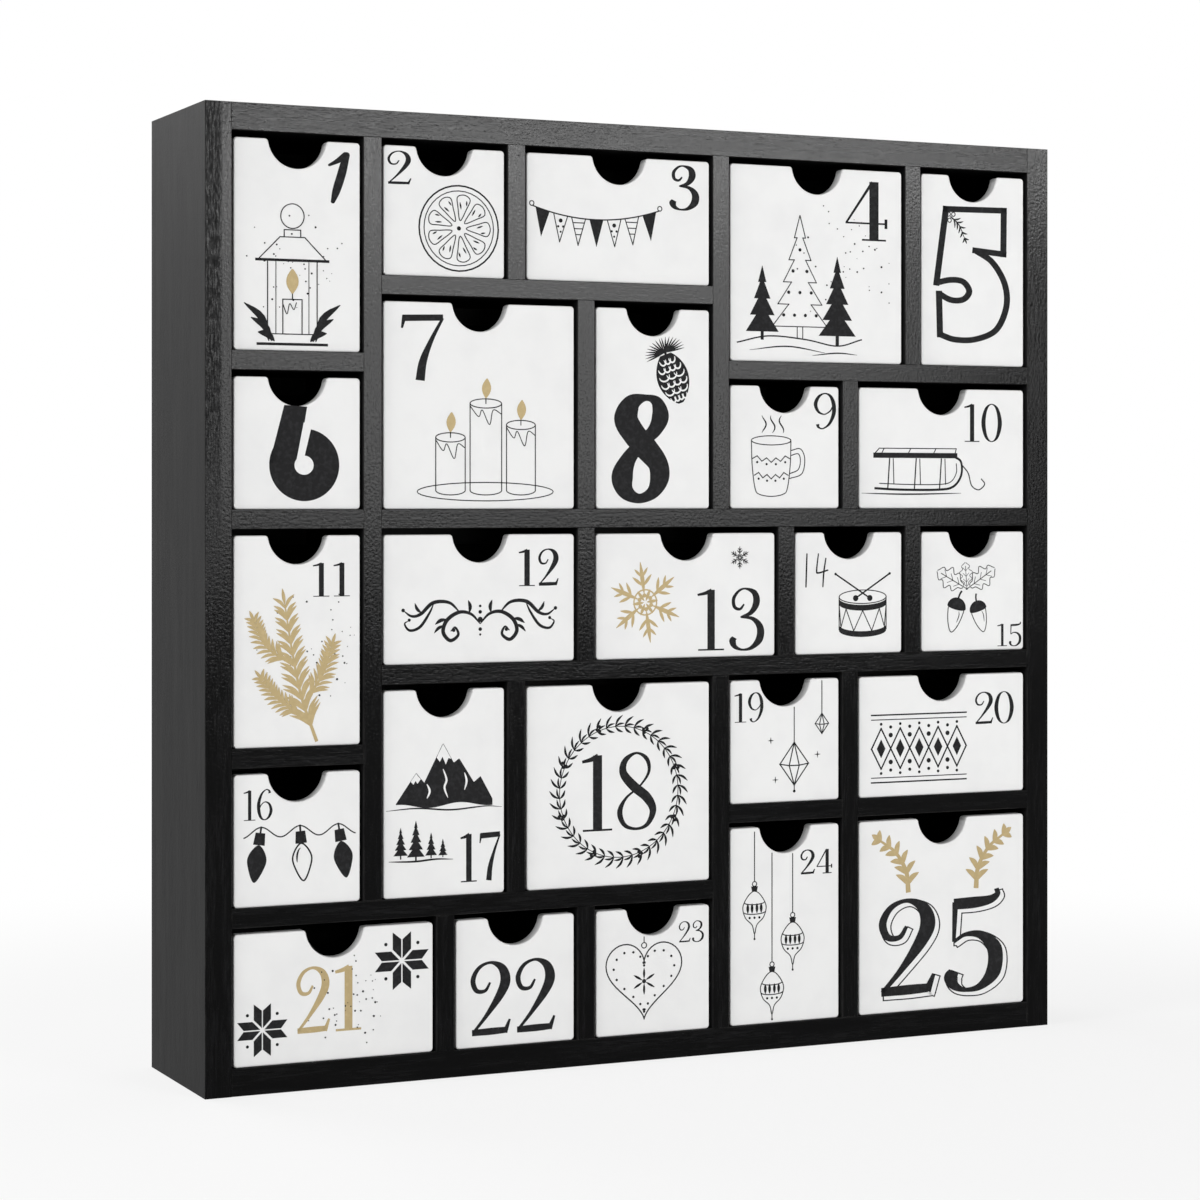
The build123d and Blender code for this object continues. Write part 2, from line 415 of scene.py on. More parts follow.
front_white = white_paint()

for number in drawer_numbers:
    name = f"drawer_{number:02d}_front"
    front_points, front_faces = painted_front(*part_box(name))
    front = piece(f"drawer_{number:02d}_painted_front", front_points, front_faces, front_white)
    smooth = np.ones(len(front_faces), dtype=bool)
    smooth[-2:] = False
    front.data.polygons.foreach_set("use_smooth", smooth)
    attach(front, f"drawer_{number:02d}")
    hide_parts(name)


# Numbers: screen-printed on the fronts, mostly in a roman face with hairlines
# and swelling stems, a few heavy, outlined or written by hand. They are drawn here
# as flat bands, and printed with the pictures further down.
numeral_advance = 0.62
narrow_advance = 0.54
outlined_advance = 0.66

# Strokes of each numeral, one unit tall: across, up, and weight from hairline to stem
roman_numerals = {
    "0": [[(.28, .99, 0), (.12, .86, .6), (.045, .5, 1), (.12, .14, .6), (.28, .01, 0),
           (.44, .14, .6), (.515, .5, 1), (.44, .86, .6), (.28, .99, 0)]],
    "1": [[(.26, 0, 1), (.26, .98, 1)],
          [(.04, .90, .1), (.16, .925, .3), (.27, .965, .5)],
          [(.05, .012, 0), (.47, .012, 0)]],
    "2": [[(.29, .72, 0), (.22, .61, .15), (.10, .62, .3), (.055, .77, .35), (.14, .93, .2),
           (.30, .99, .1), (.45, .91, .7), (.50, .74, 1), (.43, .55, .8), (.24, .27, .25),
           (.05, .04, .05)],
          [(.04, .045, .5), (.30, .05, .6), (.50, .055, .5)],
          [(.49, .02, .4), (.56, .20, 0)]],
    "3": [[(.26, .74, 0), (.19, .66, .2), (.10, .70, .3), (.09, .84, .3), (.18, .96, .15),
           (.29, .99, .1), (.43, .92, .7), (.46, .76, .9), (.37, .60, .5), (.20, .53, 0)],
          [(.20, .53, 0), (.40, .50, .4), (.52, .36, .9), (.51, .17, 1), (.38, .03, .4),
           (.23, 0, .1), (.11, .05, .5), (.07, .14, .9), (.10, .20, .6)]],
    "4": [[(.40, .99, .1), (.03, .29, 0)],
          [(.02, .29, 0), (.59, .29, 0)],
          [(.59, .21, .1), (.59, .37, .1)],
          [(.42, 0, 1), (.42, .99, 1)],
          [(.25, .012, 0), (.59, .012, 0)]],
    "5": [[(.115, .94, .2), (.10, .52, 0)],
          [(.10, .92, .7), (.30, .925, .75), (.46, .945, .5), (.54, 1, .2), (.53, 1.06, .1)],
          [(.10, .52, 0), (.22, .59, .1), (.38, .57, .5), (.51, .42, 1), (.50, .18, 1),
           (.37, .03, .4), (.22, 0, .1), (.11, .05, .5), (.07, .14, .9), (.10, .21, .6)]],
    "6": [[(.46, .87, .8), (.44, .95, .4), (.33, .99, .1), (.17, .86, .5), (.06, .58, .95),
           (.06, .30, 1), (.14, .08, .6), (.28, .01, .1), (.43, .10, .6), (.51, .31, .9),
           (.44, .52, .5), (.29, .59, .1), (.15, .50, .1), (.09, .38, 0)]],
    "7": [[(.03, .93, .75), (.55, .95, .7)],
          [(.05, .97, .4), (.015, .78, 0)],
          [(.545, .94, .1), (.40, .62, .35), (.29, .30, .8), (.25, .01, 1)]],
    "8": [[(.28, .99, .05), (.12, .90, .5), (.09, .74, .8), (.23, .57, 1), (.43, .41, 1),
           (.52, .24, .7), (.44, .06, .3), (.28, .005, .1), (.11, .06, .3), (.04, .23, .5),
           (.13, .41, .1), (.33, .56, 0), (.46, .74, .15), (.43, .91, .3), (.28, .99, .05)]],
}
roman_numerals["9"] = [
    [(.56 - x, 1 - z, weight) for x, z, weight in stroke] for stroke in roman_numerals["6"]
]
written_numerals = {
    "1": [[(.16, 0, .6), (.18, .5, .8), (.20, 1, .6)]],
    "4": [[(.12, 1, .4), (.05, .50, .7), (.12, .42, .6), (.50, .50, .4)],
          [(.42, .86, .5), (.34, .45, .8), (.30, 0, .5)]],
}
brushed_numerals = {
    "1": [[(.08, .76, .1), (.22, .85, .5), (.36, .97, .9)],
          [(.37, .98, .7), (.29, .60, 1), (.20, .25, .9), (.14, .02, .3)]],
}
heavy_numerals = {
    "8": [[(.32, .97, .06), (.19, .92, .63), (.131, .776, 1), (.20, .64, .97), (.32, .50, .97),
           (.43, .36, .80), (.445, .22, .74), (.38, .09, .40), (.25, .035, .23), (.13, .10, .57),
           (.095, .24, .86), (.16, .41, .51), (.29, .56, .34), (.40, .67, .46), (.455, .80, .63),
           (.42, .93, .34), (.32, .97, .06)]],
}


def through(points, steps=10, closed=False):
    """Smooth path through points: on each span the cubic whose slopes at the
    two ends are half the step between the neighbours there."""
    p = np.asarray(points, float)
    if closed:
        p = np.vstack([p[-1:], p, p[:2]])
    else:
        p = np.vstack([2 * p[0] - p[1], p, 2 * p[-1] - p[-2]])
    t = np.linspace(0, 1, steps, endpoint=False)[None, :, None]
    a, b, c, d = (p[i:len(p) - 3 + i, None, :] for i in range(4))
    square, cube = a - 2.5 * b + 2 * c - d / 2, 1.5 * (b - c) + (d - a) / 2
    cubic = b + t * (c - a) / 2 + t ** 2 * square + t ** 3 * cube
    path = cubic.reshape(-1, p.shape[1])
    return path if closed else np.vstack([path, p[-2]])


def pen(path, width, closed=False):
    """Band of ink: the path, moved half its width to either side along its normal."""
    step = np.roll(path, -1, 0) - np.roll(path, 1, 0) if closed else np.gradient(path, axis=0)
    step = step / np.linalg.norm(step, axis=1)[:, None]
    half = np.broadcast_to(width, len(path)) / 2
    aside = np.column_stack([-step[:, 1], step[:, 0]]) * half[:, None]
    band = np.stack([path + aside, path - aside], 1)
    return np.concatenate([band, band[:1]]) if closed else band


def dot(x, z, radius_x, radius_z=None, steps=12):
    """Round spot: the band between the upper and the lower half of an ellipse."""
    blunt = 0.06
    angle = np.linspace(blunt, np.pi - blunt, steps)
    across = x + radius_x * np.cos(angle)
    rise = (radius_z or radius_x) * np.sin(angle)
    return np.stack([np.column_stack([across, z - rise]), np.column_stack([across, z + rise])], 1)


def rule(points, width):
    """Straight lines from point to point, with square ends that close the corners."""
    ends = np.asarray(points, float)
    bands = []
    for start, end in zip(ends[:-1], ends[1:]):
        reach = (end - start) / np.linalg.norm(end - start) * width / 2
        bands.append(pen(np.array([start - reach, end + reach]), width))
    return bands


def between(first, second):
    """Solid shape between two edges."""
    return np.stack([np.asarray(first, float), np.asarray(second, float)], 1)


def turned(bands, degrees):
    """Bands turned anticlockwise about the origin."""
    angle = math.radians(degrees)
    turn = np.array([[math.cos(angle), math.sin(angle)], [-math.sin(angle), math.cos(angle)]])
    return [band @ turn for band in bands]


def moved(bands, x, z, scale=1.0):
    """Bands scaled and then shifted."""
    return [band * scale + np.array([x, z]) for band in bands]


def numerals(text, thick, thin, face=roman_numerals, swell=0.0, round_ends=False,
             advance=numeral_advance):
    """Figures side by side: each stroke's path and weight run smoothly through
    its points, and its width goes from thin to thick with its weight. Swollen
    strokes are wider all along, and longer by half as much at either end."""
    bands, start = [], 0.0
    for figure in text:
        for stroke in face[figure]:
            closed = stroke[0] == stroke[-1]
            path = through(stroke[:-1] if closed else stroke, closed=closed)
            width = thin + (thick - thin) * np.clip(path[:, 2], 0, 1) + swell
            if swell and not closed:
                outward = path[[0, -1], :2] - path[[1, -2], :2]
                path[[0, -1], :2] += outward / np.linalg.norm(outward, axis=1)[:, None] * swell / 2
            bands += moved([pen(path[:, :2], width, closed)], start, 0)
            if round_ends and not closed:
                ends = [dot(path[i, 0], path[i, 1], width[i] / 2) for i in (0, -1)]
                bands += moved(ends, start, 0)
        start += narrow_advance if figure == "1" else advance
    return bands


def roman(text, thick=0.12, thin=0.026, ink="black"):
    """Figures with hairlines and swelling stems."""
    return [(ink, numerals(text, thick, thin))]


def written(text):
    """Figures written with a thin round pen."""
    return [("black", numerals(text, 0.07, 0.03, written_numerals, round_ends=True))]


def brushed(text):
    """Figures written with a broad round brush."""
    return [("black", numerals(text, 0.15, 0.04, brushed_numerals, round_ends=True))]


def heavy(text):
    """Fat figures with little difference between stem and hairline."""
    return [("black", numerals(text, 0.225, 0.05, heavy_numerals))]


def outlined(text):
    """Heavy roman figures with a thin line along their lower right sides: a swollen
    copy, dropped to the lower right, a less swollen white one on it, and the figures."""
    thick, thin, drop = 0.150, 0.035, 0.031
    line = numerals(text, thick, thin, swell=0.036, advance=outlined_advance)
    gap = numerals(text, thick, thin, swell=0.010, advance=outlined_advance)
    return [
        ("black", moved(line, drop, -drop)),
        ("white", moved(gap, drop, -drop)),
        ("black", numerals(text, thick, thin, advance=outlined_advance)),
    ]


def block_five(line):
    """Open block figure: one heavy line round a broad arm, a bowl and the hollow beside it."""
    bowl = through([(.276, .683), (.396, .600), (.482, .444), (.492, .276), (.420, .108),
                    (.276, .036), (.132, .031), (.031, .065)])
    hollow = through([(.024, .360), (.108, .317), (.192, .324), (.233, .384), (.192, .451),
                      (.108, .463), (.007, .439)])
    bands = rule([hollow[-1], (.072, .976), (.475, .983), (.472, .664), bowl[0]], line)
    bands += rule([bowl[-1], hollow[0]], line) + [pen(bowl, line), pen(hollow, line)]
    return [("black", bands)]


def round_six():
    """A heavy disc with a slanting stem; the counter and the slit beside the stem are white."""
    disc = [dot(.368, .378, .368, .378, 30)]
    stem = [between([(.004, .40), (.157, 1.0)], [(.300, .40), (.397, .985)])]
    cut = [dot(.364, .375, .100, steps=20)]
    cut += [between([(.280, .40), (.349, .76), (.360, .82)],
                    [(.365, .45), (.438, .76), (.480, .82)])]
    return [("black", disc + stem), ("white", cut)]


# Each number: its figures, its width and height in metres, and its place in shares of the front
number_prints = {
    1: (brushed("1"), 0.0076, 0.0170, .83, .83),
    2: (roman("2"), 0.0085, 0.0111, .13, .83),
    3: (roman("3", .15, .03), 0.0116, 0.0157, .86, .78),
    4: (roman("4", .13, .03), 0.0172, 0.0212, .79, .79),
    5: (block_five(.043), 0.0326, 0.0496, .49, .48),
    6: (round_six(), 0.0240, 0.0312, .555, .425),
    7: (roman("7"), 0.0153, 0.0222, .20, .78),
    8: (heavy("8"), 0.0221, 0.0375, .39, .30),
    9: (roman("9", .10, .03), 0.0090, 0.0129, .87, .80),
    10: (roman("10"), 0.0160, 0.0139, .75, .72),
    11: (roman("11", .13), 0.0128, 0.0112, .77, .79),
    12: (roman("12", .145), 0.0147, 0.0126, .81, .74),
    13: (roman("13"), 0.0262, 0.0220, .75, .30),
    14: (written("14"), 0.0093, 0.0121, .20, .69),
    15: (roman("15", .11, .035), 0.0103, 0.0089, .86, .13),
    16: (roman("16"), 0.0098, 0.0101, .19, .77),
    17: (roman("17", .145), 0.0145, 0.0164, .80, .18),
    18: (roman("18", .13), 0.0281, 0.0268, .50, .465),
    19: (roman("19"), 0.0114, 0.0105, .17, .78),
    20: (roman("20"), 0.0165, 0.0118, .82, .71),
    21: (roman("21", .13, .035, "gold"), 0.0224, 0.0218, .47, .47),
    22: (roman("22", .14, .03), 0.0310, 0.0247, .48, .38),
    23: (roman("23", .10, .035), 0.0097, 0.0075, .84, .79),
    24: (roman("24", .125, .04), 0.0128, 0.0088, .79, .81),
    25: (outlined("25"), 0.0520, 0.0370, .495, .345),
}


def fitted(layers, width, height):
    """Layers scaled so that the last one, or the first where the last is white, fills a
    box about the origin."""
    body = layers[-1][1] if layers[-1][0] != "white" else layers[0][1]
    points = np.concatenate([band.reshape(-1, 2) for band in body])
    low, high = points.min(0), points.max(0)
    scale = np.array([width, height]) / (high - low)
    return [(ink, [(band - (low + high) / 2) * scale for band in bands]) for ink, bands in layers]


# Pictures: small generic winter drawings, printed with the numbers in thin black
# lines, solid black, white and matt gold. Each is drawn about one unit tall round its
# middle, as layers of bands, each with its ink, and given its own size on its front.
line_width = 0.00035
spatter_seed = 24
spatter_spots = 46


def arc(x, z, radius_x, radius_z, start, end, steps=24):
    """Path along part of an ellipse."""
    angle = np.radians(np.linspace(start, end, steps))
    return np.column_stack([x + radius_x * np.cos(angle), z + radius_z * np.sin(angle)])


def hoop(x, z, radius, line, radius_z=None, steps=36):
    """Line round an ellipse."""
    path = arc(x, z, radius, radius_z or radius, 0, 360 - 360 / steps, steps)
    return pen(path, line, closed=True)


def tapered(path, width, power=0.5):
    """Line that swells from nothing to its width and back, as a sine along its length."""
    length = np.concatenate([[0], np.cumsum(np.linalg.norm(np.diff(path, axis=0), axis=1))])
    return pen(path, width * np.sin(np.pi * np.clip(length / length[-1], 0.02, 0.98)) ** power)


def curve(points, width):
    """Even line along the smooth path through points."""
    return pen(through(points), width)


def flourish(points, width, power=0.5):
    """Swelling line along the smooth path through points."""
    return tapered(through(points), width, power)


def leaf(base, tip, width, bend=0.0):
    """Pointed leaf on a spine that bows aside by a share of its length."""
    base, tip = np.asarray(base, float), np.asarray(tip, float)
    along = tip - base
    middle = (base + tip) / 2 + bend * np.array([-along[1], along[0]])
    return tapered(through([base, middle, tip], 4), width, 0.8)


def mirrored(bands):
    """Bands and their mirror images in the upright through the origin."""
    return bands + [band[:, ::-1] * np.array([-1, 1]) for band in bands]


def needles(points, length, width, count, spread, bend):
    """A twig along a smooth path, with a pair of leaves at each of several places."""
    path = through(points, 12)
    step = np.gradient(path, axis=0)
    step /= np.linalg.norm(step, axis=1)[:, None]
    bands = [pen(path, np.linspace(1, 0.4, len(path)) * width)]
    for i in np.linspace(4, len(path) - 2, count).astype(int):
        reach = length * (1 - 0.4 * i / len(path))
        for side in (-1, 1):
            aim = turned([step[i]], spread * side)[0]
            bands.append(leaf(path[i], path[i] + aim * reach, width, -bend * side))
    return bands + [leaf(path[-1], path[-1] + step[-1] * length * 0.6, width)]


def lantern(line):
    """Candle lantern: plinth, glazed sides, hipped roof and ring."""
    bands = rule([(-.25, -.48), (.25, -.48)], 2.5 * line)
    bands += rule([(-.20, -.41), (.20, -.41)], line)
    side = rule([(-.18, -.41), (-.18, .10)], line) + rule([(-.12, -.41), (-.12, .10)], .7 * line)
    bands += mirrored(side) + mirrored(rule([(-.25, .10), (-.09, .26), (0, .26)], line))
    bands += rule([(-.26, .10), (.26, .10)], 2.5 * line)
    bands += rule([(-.06, .26), (-.06, .31), (.06, .31), (.06, .26)], line)
    bands += [hoop(0, .405, .085, line)]
    bands += rule([(-.07, -.41), (-.07, -.17), (.07, -.17), (.07, -.41)], line)
    bands += rule([(0, -.17), (0, -.12)], line)
    bands += [curve([(-.07, -.20), (-.04, -.27), (-.02, -.20), (.01, -.24), (.03, -.19)],
                    .8 * line)]
    bands += mirrored([leaf((.13 + .02 * i, -.46), (.25 + .05 * i, -.40 + .10 * i), .05, .15)
                       for i in range(3)])
    return [("black", bands), ("gold", [leaf((0, -.13), (0, .04), .09)])]


def orange_slice(line):
    """Dried fruit slice: two rims and nine segments round a pith."""
    bands = [hoop(0, 0, .49, 1.6 * line), hoop(0, 0, .43, line), dot(0, 0, .025)]
    segment = through([(.09, 0), (.24, .055), (.35, .08), (.39, 0), (.35, -.08), (.24, -.055)],
                      6, closed=True)
    one = [pen(segment, line, closed=True), leaf((.22, .01), (.30, .04), 1.6 * line)]
    one += [leaf((.27, -.05), (.33, -.04), 1.6 * line)]
    for i in range(9):
        bands += turned(one, 40 * i)
    return [("black", bands)]


def bunting(line):
    """Seven pennants on a sagging cord: solid, spotted and striped in turn."""
    def sag(x):
        return .20 + .14 * x ** 2

    x = np.linspace(-1.2, 1.2, 40)
    bands = [pen(np.column_stack([x, sag(x)]), 1.3 * line)]
    bands += mirrored([hoop(1.2, sag(1.2) + .035, .04, line, steps=20)])
    for i, middle in enumerate(np.linspace(-1.0, 1.0, 7)):
        left, right, top = middle - .13, middle + .13, sag(middle)
        tip = (middle * 1.03, top - .46)
        if i % 3 == 0:
            far_edge = [(right, sag(right)), (tip[0] + .002, tip[1])]
            bands += [between([(left, sag(left)), tip], far_edge)]
            continue
        bands += rule([(left, sag(left)), tip, (right, sag(right))], line)
        if i % 3 == 1:
            bands += [dot(middle, top - .10, .035), dot(middle, top - .29, .018)]
            bands += [dot(middle + side * .045, top - .20, .02) for side in (-1, 1)]
        else:
            for drop, reach in ((.08, .105), (.18, .075), (.28, .045)):
                bands += rule([(middle - reach, top - drop), (middle + reach, top - drop)], line)
    return [("black", bands)]


def fir(x, base, height, width, tiers, line=0.0):
    """Fir tree in tiers, each half as wide at its top as at its foot; solid, or drawn in line."""
    foot = np.arange(tiers) / tiers
    head = foot + 1 / tiers
    wide = np.column_stack([width / 2 * (1 - foot), height * foot])
    narrow = np.column_stack([width / 4 * (1 - head) + .001, height * head])
    right = np.stack([wide, narrow], 1).reshape(-1, 2)
    left = right * np.array([-1, 1])
    if not line:
        trunk = rule([(0, -.1 * height), (0, .02)], .09 * width)
        return moved([between(left, right)] + trunk, x, base)
    trunk = rule([(.05 * width, 0), (.05 * width, -.1 * height)], line)
    outline = mirrored(rule(right, line) + trunk) + rule([left[0], right[0]], line)
    return moved(outline, x, base)


def grove(line):
    """Four dark firs on a line of snow."""
    bands = fir(-.52, -.30, .62, .34, 5) + fir(-.16, -.34, .80, .42, 5)
    bands += fir(.20, -.32, .50, .28, 4) + fir(.48, -.33, .36, .22, 4)
    bands += [flourish([(-.80, -.42), (-.20, -.44), (.30, -.41), (.72, -.43)], 1.8 * line)]
    return [("black", bands)]


def conifers(line):
    """Three firs on snowy ground, the middle one hung with beads."""
    bands = fir(0, -.30, .78, .44, 5, line)
    bands += fir(-.30, -.34, .46, .26, 4) + fir(.30, -.36, .56, .30, 5)
    bands += [curve([(-.50, -.42), (-.25, -.37), (.05, -.39), (.30, -.43), (.50, -.38)],
                    1.4 * line)]
    bands += [flourish([(-.40, -.47), (-.10, -.44), (.20, -.48)], 1.4 * line)]
    bands += [flourish([(.10, -.50), (.30, -.48), (.46, -.49)], 1.4 * line)]
    for height, count, reach in ((-.22, 4, .13), (-.06, 3, .09), (.09, 2, .055), (.24, 1, 0)):
        bands += [dot(x, height, .012) for x in np.linspace(-reach, reach, count)]
    return [("black", bands)]


def candles(line):
    """Three pillar candles on a plate, with wax run down from the top."""
    bands, flames = [hoop(0, -.43, .56, line, .07)], []
    for x, height, radius in ((-.29, .40, .12), (0, .66, .13), (.29, .50, .12)):
        foot, top = -.42, height - .42
        for side in (x - radius, x + radius):
            bands += rule([(side, foot), (side, top)], line)
        bands += [hoop(x, top, radius, line, .035), pen(arc(x, foot, radius, .035, 180, 360), line)]
        bands += rule([(x, top), (x, top + .05)], line)
        bands += [curve([(x - radius, top - .02), (x - .06, top - .10), (x - .03, top - .05),
                         (x + .03, top - .16), (x + .06, top - .05), (x + radius, top - .08)],
                        .9 * line)]
        flames += [leaf((x, top + .04), (x + .01, top + .19), .075)]
    return [("black", bands), ("gold", flames)]


def twig(line):
    """Small twig with leaves in pairs and three open berries."""
    bands = needles([(-.38, .36), (-.02, .06), (.22, -.42)], .34, .06, 5, 45, .1)
    for x, z in ((-.42, .22), (-.26, .44), (-.46, .44)):
        bands += [hoop(x, z, .075, line, steps=16)]
    return [("black", bands)]


def fir_cone(line):
    """Fir cone: a solid egg shape, with rows of white scale edges, under two tufts of needles."""
    down = np.linspace(0, 1, 30)
    half = .29 * np.sin(np.pi * np.clip(.06 + .93 * down, .02, .985)) ** .62
    spine = np.column_stack([np.zeros(30), .34 - .84 * down])
    bands, scales = [pen(spine, 2 * half)], []
    for row in range(6):
        height = .26 - .125 * row
        reach = np.interp((.34 - height) / .84, down, half)
        count = 4 if row % 2 else 3
        for x in np.linspace(-reach, reach, count + 2)[1:-1]:
            scales += [tapered(arc(x, height, reach / count, .085, 180, 360, 10), 1.7 * line, .4)]
    bands += [flourish([(0, .30), (.02, .42), (.10, .50)], .05, .3)]
    for angle in np.radians(np.arange(-8, 96, 12)):
        tip = np.array([.36 * math.cos(angle), .25 * math.sin(angle)])
        bands += mirrored([leaf((.01, .37), (.01 + tip[0], .37 + tip[1]), .026)])
    return [("black", bands), ("white", scales)]


def mug(line):
    """Steaming mug with two zigzag bands and rows of spots."""
    bands = [hoop(-.04, .20, .27, line, .055)]
    bands += [curve([(-.31, .20), (-.30, -.10), (-.26, -.38), (-.20, -.45), (-.04, -.475),
                     (.12, -.45), (.18, -.38), (.22, -.10), (.23, .20)], line)]
    bands += [curve([(.23, .08), (.36, .10), (.42, -.02), (.38, -.20), (.21, -.26)], line)]
    bands += [curve([(.23, .02), (.33, .04), (.36, -.04), (.33, -.15), (.215, -.20)], line)]
    for height, narrow in ((-.02, 1.0), (-.22, .9)):
        x = np.linspace(-.255, .255, 9) * narrow - .04
        z = height - .045 * np.sin(np.linspace(0, np.pi, 9)) + .05 * (np.arange(9) % 2)
        bands += rule(np.column_stack([x, z]), line)
        bands += [dot(a, b - .075, .014) for a, b in zip(x[1:-1:2], z[1:-1:2])]
    rise = np.linspace(0, .21, 16)
    for x in (-.14, -.02, .10):
        sway = x + .03 * np.sin(26 * rise + 8 * x)
        bands += [tapered(np.column_stack([sway, .29 + rise]), 1.6 * line)]
    return [("black", bands)]


def sledge(line):
    """Slatted sledge on curled runners, with its cord on the snow."""
    bands = [curve([(-.74, -.40), (-.30, -.42), (.30, -.42), (.56, -.38), (.70, -.22),
                    (.70, -.02), (.58, .06)], 2.4 * line)]
    bands += [curve([(-.66, -.33), (-.20, -.345), (.30, -.345), (.52, -.31), (.62, -.18),
                     (.62, -.04)], line)]
    for x in (-.52, -.08, .34):
        bands += rule([(x, -.40), (x + .03, .02)], 1.4 * line)
        bands += rule([(x + .10, -.34), (x + .09, .02)], line)
        bands += rule([(x - .10, .10), (x - .06, .17)], line)
    bands += rule([(-.72, .07), (.60, .07)], .075) + rule([(-.66, .17), (.62, .17)], line)
    bands += rule([(-.72, .11), (-.66, .17)], line) + rule([(.60, .10), (.62, .17)], line)
    bands += [curve([(.70, -.05), (.82, -.18), (.88, -.36), (1.0, -.42), (1.10, -.34),
                     (1.04, -.26)], 1.2 * line)]
    bands += [flourish([(-.95, -.47), (-.20, -.485), (.70, -.47)], 1.6 * line)]
    return [("black", bands)]


def fir_bough(line):
    """Fir bough: a main twig and three side twigs, with needles in pairs."""
    bands = needles([(.16, -.50), (.06, -.22), (0, .06), (-.05, .36)], .17, .022, 22, 42, .1)
    bands += needles([(.07, -.26), (.20, -.08), (.26, .10)], .13, .020, 12, 42, .1)
    bands += needles([(.01, -.02), (-.17, .10), (-.25, .26)], .12, .020, 11, 42, .1)
    bands += needles([(.10, -.34), (-.08, -.24), (-.20, -.10)], .12, .020, 11, 42, .1)
    return [("gold", bands)]


def scrollwork(line):
    """Pen flourish: two curling stems with leaves, and their mirror image."""
    bands = [flourish([(0, -.06), (.18, .12), (.42, .16), (.66, .02), (.74, -.20), (.60, -.36),
                       (.44, -.26), (.50, -.12), (.59, -.19)], .075, .45)]
    bands += [flourish([(.40, .15), (.62, .34), (.94, .34), (1.18, .14), (1.36, .10),
                        (1.52, .20)], .07)]
    bands += [flourish([(.92, .34), (1.02, .14), (1.20, -.10), (1.40, -.16), (1.50, -.04),
                        (1.42, .02)], .055)]
    bands += [leaf((.66, .03), (.90, -.06), .07, .12), leaf((.70, -.08), (.92, -.22), .06, .12)]
    bands += [leaf((1.16, .15), (1.30, .34), .06, -.12), leaf((.22, .14), (.24, .38), .07, .12)]
    bands += [dot(.53, -.17, .035), dot(1.53, .21, .035), dot(1.41, .03, .03)]
    beads = [dot(0, .02, .05), dot(0, .16, .035), dot(0, -.16, .035)]
    beads += [dot(0, .27, .025), dot(0, -.26, .022)]
    return [("black", mirrored(bands) + beads)]


def frost_star(line, ink="black"):
    """Six-armed frost star: each arm a long leaf with two pairs of short ones."""
    arm = [leaf((0, .10), (0, .50), .055), dot(0, .085, .026)]
    arm += mirrored([leaf((0, .20), (.13, .33), .040), leaf((0, .31), (.09, .42), .034)])
    bands = [hoop(0, 0, .155, .018, steps=24)]
    for i in range(6):
        bands += turned(arm, 60 * i) + turned([leaf((0, .02), (0, .17), .04)], 60 * i + 30)
    return [(ink, bands)]


def gold_frost_star(line):
    """The frost star, printed in gold."""
    return frost_star(line, "gold")


def drum(line):
    """Toy drum: solid hoops, zigzag cords and two crossed sticks."""
    top, low, radius, lift = .12, -.36, .40, .10
    bands = [hoop(0, top, radius, line, lift)]
    bands += mirrored(rule([(radius, top), (radius, low)], line))
    for height in (top - .02, low + .07):
        bands += [between(arc(0, height, radius, lift, 180, 360),
                          arc(0, height - .085, radius, lift, 180, 360))]
    upper = arc(0, top - .105, radius, lift, 180, 360, 9)
    lower = arc(0, low + .07, radius, lift, 180, 360, 9)
    bands += rule(np.where((np.arange(9) % 2 == 0)[:, None], upper, lower), line)
    stick = rule([(-.46, .46), (.12, .10)], 1.6 * line) + [dot(.12, .10, .045), dot(-.46, .46, .02)]
    return [("black", bands + mirrored(stick))]


def acorns(line):
    """Two acorns and three oak leaves on a twig."""
    nut = through([(0, -.30), (.07, -.21), (.115, -.05), (.10, .04), (-.10, .04),
                   (-.115, -.05), (-.07, -.21)], 8, closed=True)
    cup = between(arc(0, .04, .145, .13, 0, 180), arc(0, .04, .145, .035, 0, -180))
    acorn = [pen(nut, line, closed=True), cup]
    acorn += [curve([(0, .15), (.01, .22), (.03, .27)], 2 * line)]
    acorn += [flourish([(.05, -.16), (.065, -.06), (.05, 0)], line)]
    up = np.linspace(.01, .99, 50)
    lobes = .14 * np.sin(np.pi * up) ** .7 * (1 + .30 * np.cos(7 * np.pi * up))
    side = [pen(np.column_stack([lobes, .55 * up]), line)]
    side += [pen(np.array([(0, height - .05), (.08, height + .03)]), .7 * line)
             for height in (.14, .27, .40)]
    oak_leaf = mirrored(side) + rule([(0, -.08), (0, .46)], line)
    bands = moved(turned(acorn, -14), -.17, -.14) + moved(turned(acorn, 16), .19, -.17, .92)
    for tilt, x, height, scale in ((62, -.05, .17, .85), (-58, .05, .17, .85), (4, 0, .18, .58)):
        bands += moved(turned(oak_leaf, tilt), x, height, scale)
    return [("black", bands)]


def light_string(line):
    """String of three lamps on a looped wire, solid and clear in turn."""
    def wire(x):
        return .34 + .07 * np.cos(2 * np.pi * x / .55)

    x = np.linspace(-.80, .80, 60)
    bands = [pen(np.column_stack([x, wire(x)]), 1.2 * line)]
    glass = through([(0, -.16), (.075, -.24), (.085, -.34), (0, -.50), (-.085, -.34),
                     (-.075, -.24)], 8, closed=True)
    holder = rule([(0, 0), (0, -.06)], 1.2 * line)
    holder += [between([(-.055, -.16), (-.045, -.05)], [(.055, -.16), (.045, -.05)])]
    shine = tapered(arc(0, -.31, .05, .11, 100, 190, 10), 1.2 * line)
    clear = holder + [pen(glass, line, closed=True), shine]
    solid = holder + [between(glass[:25], np.roll(glass[::-1], 1, 0)[:25])]
    for middle, tilt, lamp in ((-.55, -8, solid), (0, 4, clear), (.55, 9, solid)):
        bands += moved(turned(lamp, tilt), middle, wire(middle), 1.5)
    return [("black", bands)]


